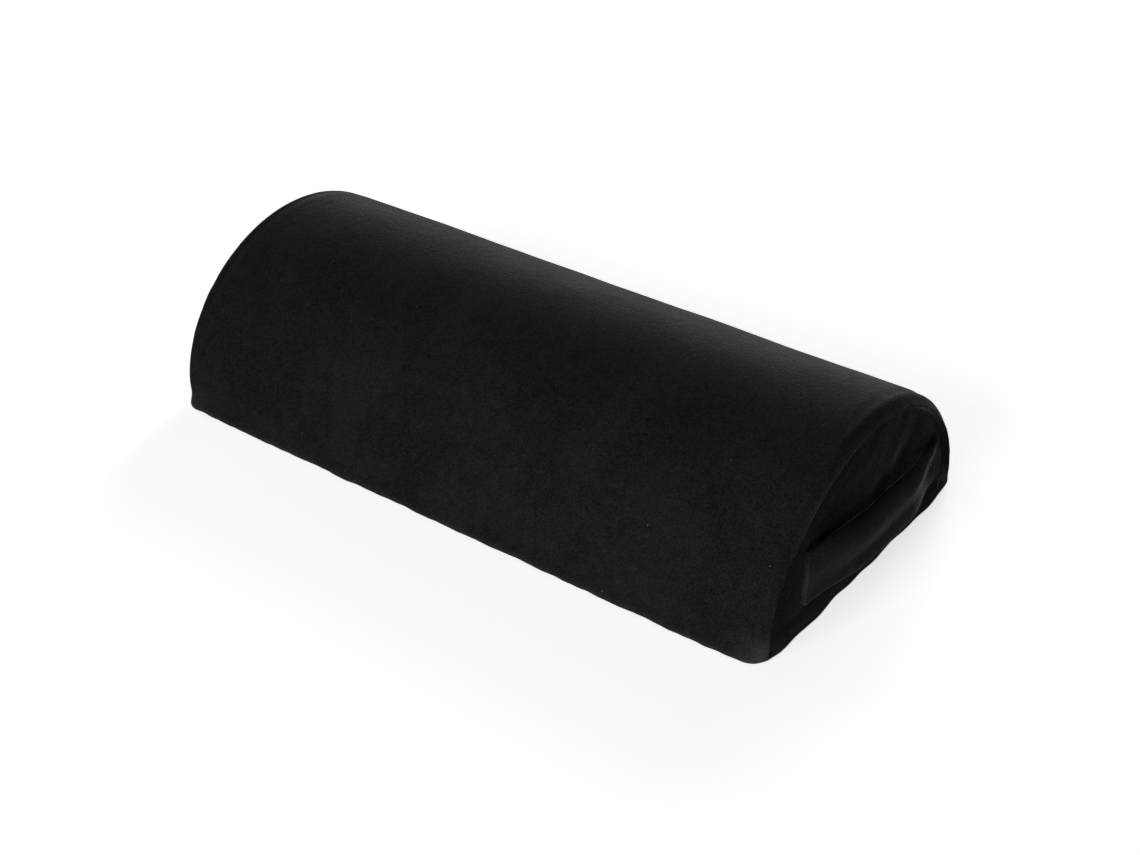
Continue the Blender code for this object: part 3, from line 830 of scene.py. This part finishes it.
def sew(name, runs, outward, finish):
    """Copies of the stitch along straight runs, joined in one piece."""
    one = stitch_mesh()
    mesh = bmesh.new()
    for start, end in runs:
        span = (end - start).length
        count = max(1, round(span / STITCH_PITCH))
        run = (end - start).normalized()
        lift = (outward - run * outward.dot(run)).normalized()
        turn = Matrix((run, lift.cross(run), lift)).transposed().to_4x4()
        for step in range(count):
            middle = start + (end - start) * (step + 0.5) / count
            placed = one.copy()
            placed.transform(Matrix.Translation(middle) @ turn)
            mesh.from_mesh(placed)
            bpy.data.meshes.remove(placed)
    bmesh.ops.recalc_face_normals(mesh, faces=mesh.faces)
    data = bpy.data.meshes.new(name)
    mesh.to_mesh(data)
    mesh.free()
    piece = bpy.data.objects.new(name, data)
    bpy.context.collection.objects.link(piece)
    for face in data.polygons:
        face.use_smooth = True
    data.materials.append(finish)
    return piece


def strap_surface(y, z):
    w = (z - (STRAP_LOW + STRAP_HIGH) / 2) / ((STRAP_HIGH - STRAP_LOW) / 2)
    x = OVER_X + strap_bow(y) + strap_relief(y, w) + STRAP_CLOTH / 2
    return Vector((x, y + 3 * MM * (w + 1) / 2 * (1 - smooth(0, 0.3, along_strap(y))), z))


thread = thread_finish("black_thread", (0.006, 0.006, 0.006, 1), (0.016, 0.016, 0.016, 1))
LOW_ROW = STRAP_LOW + 4 * MM
HIGH_ROW = STRAP_HIGH - 8 * MM
for end, near, far in (("front", -61, -53.5), ("rear", 61.5, 69)):
    near, far = near * MM, far * MM
    corners = [(near, LOW_ROW), (far, LOW_ROW), (far, HIGH_ROW), (near, HIGH_ROW)]
    runs = []
    for (y0, z0), (y1, z1) in zip(corners, corners[1:] + corners[:1]):
        runs.append((strap_surface(y0, z0), strap_surface(y1, z1)))
    stitches = sew(f"strap_stitches_{end}", runs, Vector((1, 0, 0)), thread)
    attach(stitches, "cushion")
    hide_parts(f"strap_stitching_{end}")

# The zip lies in the rear slot: two woven tapes, each with a nylon coil sewn along its edge.
TAPE_FACE = 101.2 * MM
TAPE_CLOTH = 0.6 * MM
ZIP_TRAVEL = 341 * MM
COIL_PITCH = ZIP_TRAVEL / 171
COIL_END = 175 * MM


def tape_finish(name):
    finish, tree, shader = new_finish(name, roughness=0.75, specular_ior_level=0.25)
    place = add_node(tree, "ShaderNodeTexCoord", {}, {}, output="Object")
    waves = {"Vector": place, "Scale": 480, "Distortion": 0.4}
    warp = add_node(tree, "ShaderNodeTexWave", {"bands_direction": "Z"}, waves, output=1)
    weft = add_node(tree, "ShaderNodeTexWave", {"bands_direction": "X"}, waves, output=1)
    worn = noise_at(tree, place, 90, 3)
    shade = warp * 0.5 + worn * 0.5
    colour = mix_colours(tree, shade, (0.008, 0.008, 0.009, 1), (0.022, 0.022, 0.024, 1))
    tree.links.new(colour.socket, shader.inputs["Base Color"])
    inputs = {"Strength": 0.6, "Distance": 0.2 * MM, "Height": warp * 0.6 + weft * 0.4}
    bump = add_node(tree, "ShaderNodeBump", {}, inputs)
    tree.links.new(bump.socket, shader.inputs["Normal"])
    return finish


def zip_tape(name, node, low, high, finish):
    """A strip of woven tape with a rib near each edge."""
    bpy.ops.object.select_all(action="DESELECT")
    bpy.ops.mesh.primitive_grid_add(x_subdivisions=122, y_subdivisions=14, size=2)
    tape = bpy.context.object
    tape.name = tape.data.name = name
    for vert in tape.data.vertices:
        z = low + (high - low) * (vert.co.y + 1) / 2
        rib = 0.18 * MM * abs(math.sin((z - low) / (high - low) * math.pi * 7))
        vert.co = (vert.co.x * 183 * MM, TAPE_FACE - TAPE_CLOTH / 2 + rib - 0.18 * MM, z)
    apply_modifier(tape, "SOLIDIFY", thickness=TAPE_CLOTH * 0.7, offset=0)
    bpy.ops.object.shade_smooth()
    tape.data.materials.append(finish)
    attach(tape, "cushion")
    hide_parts(node)


def coil_tooth(side):
    """One turn of the coil: a bent nylon rod with a wider head that meets the other row."""
    bpy.ops.object.select_all(action="DESELECT")
    bpy.ops.mesh.primitive_uv_sphere_add(segments=8, ring_count=7, radius=1)
    tooth = bpy.context.object
    for vert in tooth.data.vertices:
        x, y, z = vert.co
        head = 1 + 0.35 * smooth(0.3, 0.9, -side * z)
        vert.co = (x * 0.5 * MM * head + z * 0.22 * MM, y * 0.74 * MM, z * 1.55 * MM)
    mesh = tooth.data.copy()
    bpy.data.objects.remove(tooth)
    return mesh


def zip_coil(name, node, side, finish):
    one = coil_tooth(side)
    mesh = bmesh.new()
    count = int(2 * COIL_END / COIL_PITCH)
    for step in range(count):
        x = -COIL_END + (step + 0.5 + 0.25 * side) * COIL_PITCH
        middle = (x, TAPE_FACE + 1.05 * MM, 12 * MM + side * 1.15 * MM)
        placed = one.copy()
        placed.transform(Matrix.Translation(middle))
        mesh.from_mesh(placed)
        bpy.data.meshes.remove(placed)
    data = bpy.data.meshes.new(name)
    mesh.to_mesh(data)
    mesh.free()
    for face in data.polygons:
        face.use_smooth = True
    coil = bpy.data.objects.new(name, data)
    bpy.context.collection.objects.link(coil)
    data.materials.append(finish)
    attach(coil, "cushion")
    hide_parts(node)


def nylon_finish(name):
    finish, tree, shader = new_finish(name, roughness=0.35, specular_ior_level=0.5)
    place = add_node(tree, "ShaderNodeTexCoord", {}, {}, output="Object")
    painted_light_and_wear = noise_at(tree, place, 300, 3)
    colour = mix_colours(tree, painted_light_and_wear, (0.01, 0.01, 0.011, 1), (0.03, 0.03, 0.033, 1))
    tree.links.new(colour.socket, shader.inputs["Base Color"])
    tree.links.new((0.28 + painted_light_and_wear * 0.25).socket, shader.inputs["Roughness"])
    return finish


tape_cloth = tape_finish("zip_tape_weave")
zip_tape("zip_tape_upper_woven", "zip_tape_upper", 12.6 * MM, 21.4 * MM, tape_cloth)
zip_tape("zip_tape_lower_woven", "zip_tape_lower", 2.2 * MM, 11.4 * MM, tape_cloth)
nylon = nylon_finish("black_nylon")
zip_coil("zip_coil_upper_turns", "zip_coil_upper", 1, nylon)
zip_coil("zip_coil_lower_turns", "zip_coil_lower", -1, nylon)


# The zip's slider, pull tab and stops are die-cast and stamped metal with a worn black coating.
def coated_metal(name):
    finish, tree, shader = new_finish(name, metallic=1.0, roughness=0.4)
    place = add_node(tree, "ShaderNodeTexCoord", {}, {}, output="Object")
    wear = steps_between(tree, noise_at(tree, place, 420, 4), 0.55, 0.75)
    colour = mix_colours(tree, wear, (0.035, 0.035, 0.037, 1), (0.22, 0.22, 0.23, 1))
    tree.links.new(colour.socket, shader.inputs["Base Color"])
    tree.links.new((0.33 + wear * 0.2).socket, shader.inputs["Roughness"])
    inputs = {"Strength": 0.15, "Distance": 0.1 * MM, "Height": wear}
    bump = add_node(tree, "ShaderNodeBump", {}, inputs)
    tree.links.new(bump.socket, shader.inputs["Normal"])
    return finish


metal = coated_metal("black_coated_metal")
METAL_NODES = ["zip_slider", "zip_pull_tab", "zip_bottom_stop"]
METAL_NODES += ["zip_top_stop_upper", "zip_top_stop_lower"]
for node in METAL_NODES:
    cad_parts[node].data.materials.clear()
    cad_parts[node].data.materials.append(metal)

# The studio: a bright pale sweep under even soft light, with soft lamps behind the crest and one
# under the sheet, which is clear when seen from below. The sheet glows, dimmer near the middle as
# a painted shade round the pillow. The sheet and the world are seen but don't light the object.
bpy.ops.object.select_all(action="DESELECT")
bpy.ops.mesh.primitive_plane_add(size=60, location=(0, 0, -0.3 * MM))
floor = bpy.context.object
floor.name = "studio_floor"
paper, paper_tree, paper_shader = new_finish("pale_paper", roughness=0.9, emission_strength=1.0)
paper_shader.inputs["Base Color"].default_value = (0.9, 0.9, 0.9, 1)
reach = add_node(paper_tree, "ShaderNodeTexCoord", {}, {}, output="Object")
reach = add_node(paper_tree, "ShaderNodeVectorMath", {"operation": "LENGTH"}, {0: reach}, output=1)
# The glow is dimmer near the middle: a painted shade round the pillow.
glow_with_painted_shade = steps_between(paper_tree, reach, 0.5, 1.5, 0.7, 1)
glow_with_painted_shade = mix_colours(paper_tree, glow_with_painted_shade, (0, 0, 0, 1), (1, 1, 1, 1))
paper_tree.links.new(glow_with_painted_shade.socket, paper_shader.inputs["Emission Color"])
below = add_node(paper_tree, "ShaderNodeNewGeometry", {}, {}, output="Backfacing")
clear = add_node(paper_tree, "ShaderNodeBsdfTransparent", {}, {})
sheet = Value(paper_tree, paper_shader.outputs[0])
shown = add_node(paper_tree, "ShaderNodeMixShader", {}, {0: below, 1: sheet, 2: clear})
paper_end = next(node for node in paper_tree.nodes if node.type == "OUTPUT_MATERIAL")
paper_tree.links.new(shown.socket, paper_end.inputs["Surface"])
floor.data.materials.append(paper)

world = bpy.data.worlds.new("studio")
bpy.context.scene.world = world
world.use_nodes = True
world.node_tree.nodes["Background"].inputs["Color"].default_value = (1, 1, 1, 1)
world.cycles_visibility.diffuse = False
world.cycles_visibility.glossy = False
floor.visible_diffuse = False
floor.visible_glossy = False


def soft_lamp(name, place, aim, size, power):
    bpy.ops.object.light_add(type="AREA", location=place)
    lamp = bpy.context.object
    lamp.name = name
    lamp.data.size = size
    lamp.data.energy = power
    lamp.rotation_euler = (Vector(aim) - Vector(place)).to_track_quat("-Z", "Y").to_euler()


soft_lamp("crest_lamp", (-0.2, 1.8, 0.85), (0, 0, 0.08), 0.9, 11)
soft_lamp("rear_lamp", (-0.7, 2.0, 0.35), (0, 0, 0.06), 1.0, 16)
soft_lamp("front_lamp", (0.1, -2.0, 0.8), (0, 0, 0.03), 1.2, 24)
soft_lamp("end_lamp", (2.0, -0.5, 0.5), (0.1, 0, 0.04), 1.0, 3.2)
soft_lamp("left_lamp", (-2.0, 0.1, 0.5), (0, 0, 0.04), 1.2, 7)
soft_lamp("low_lamp", (1.2, -1.7, 0.1), (0.1, -0.1, 0.02), 0.3, 6)
soft_lamp("floor_lamp", (0.45, -0.9, -1.2), (0, 0, 0), 1.2, 12)
bpy.context.scene.view_settings.view_transform = "Standard"
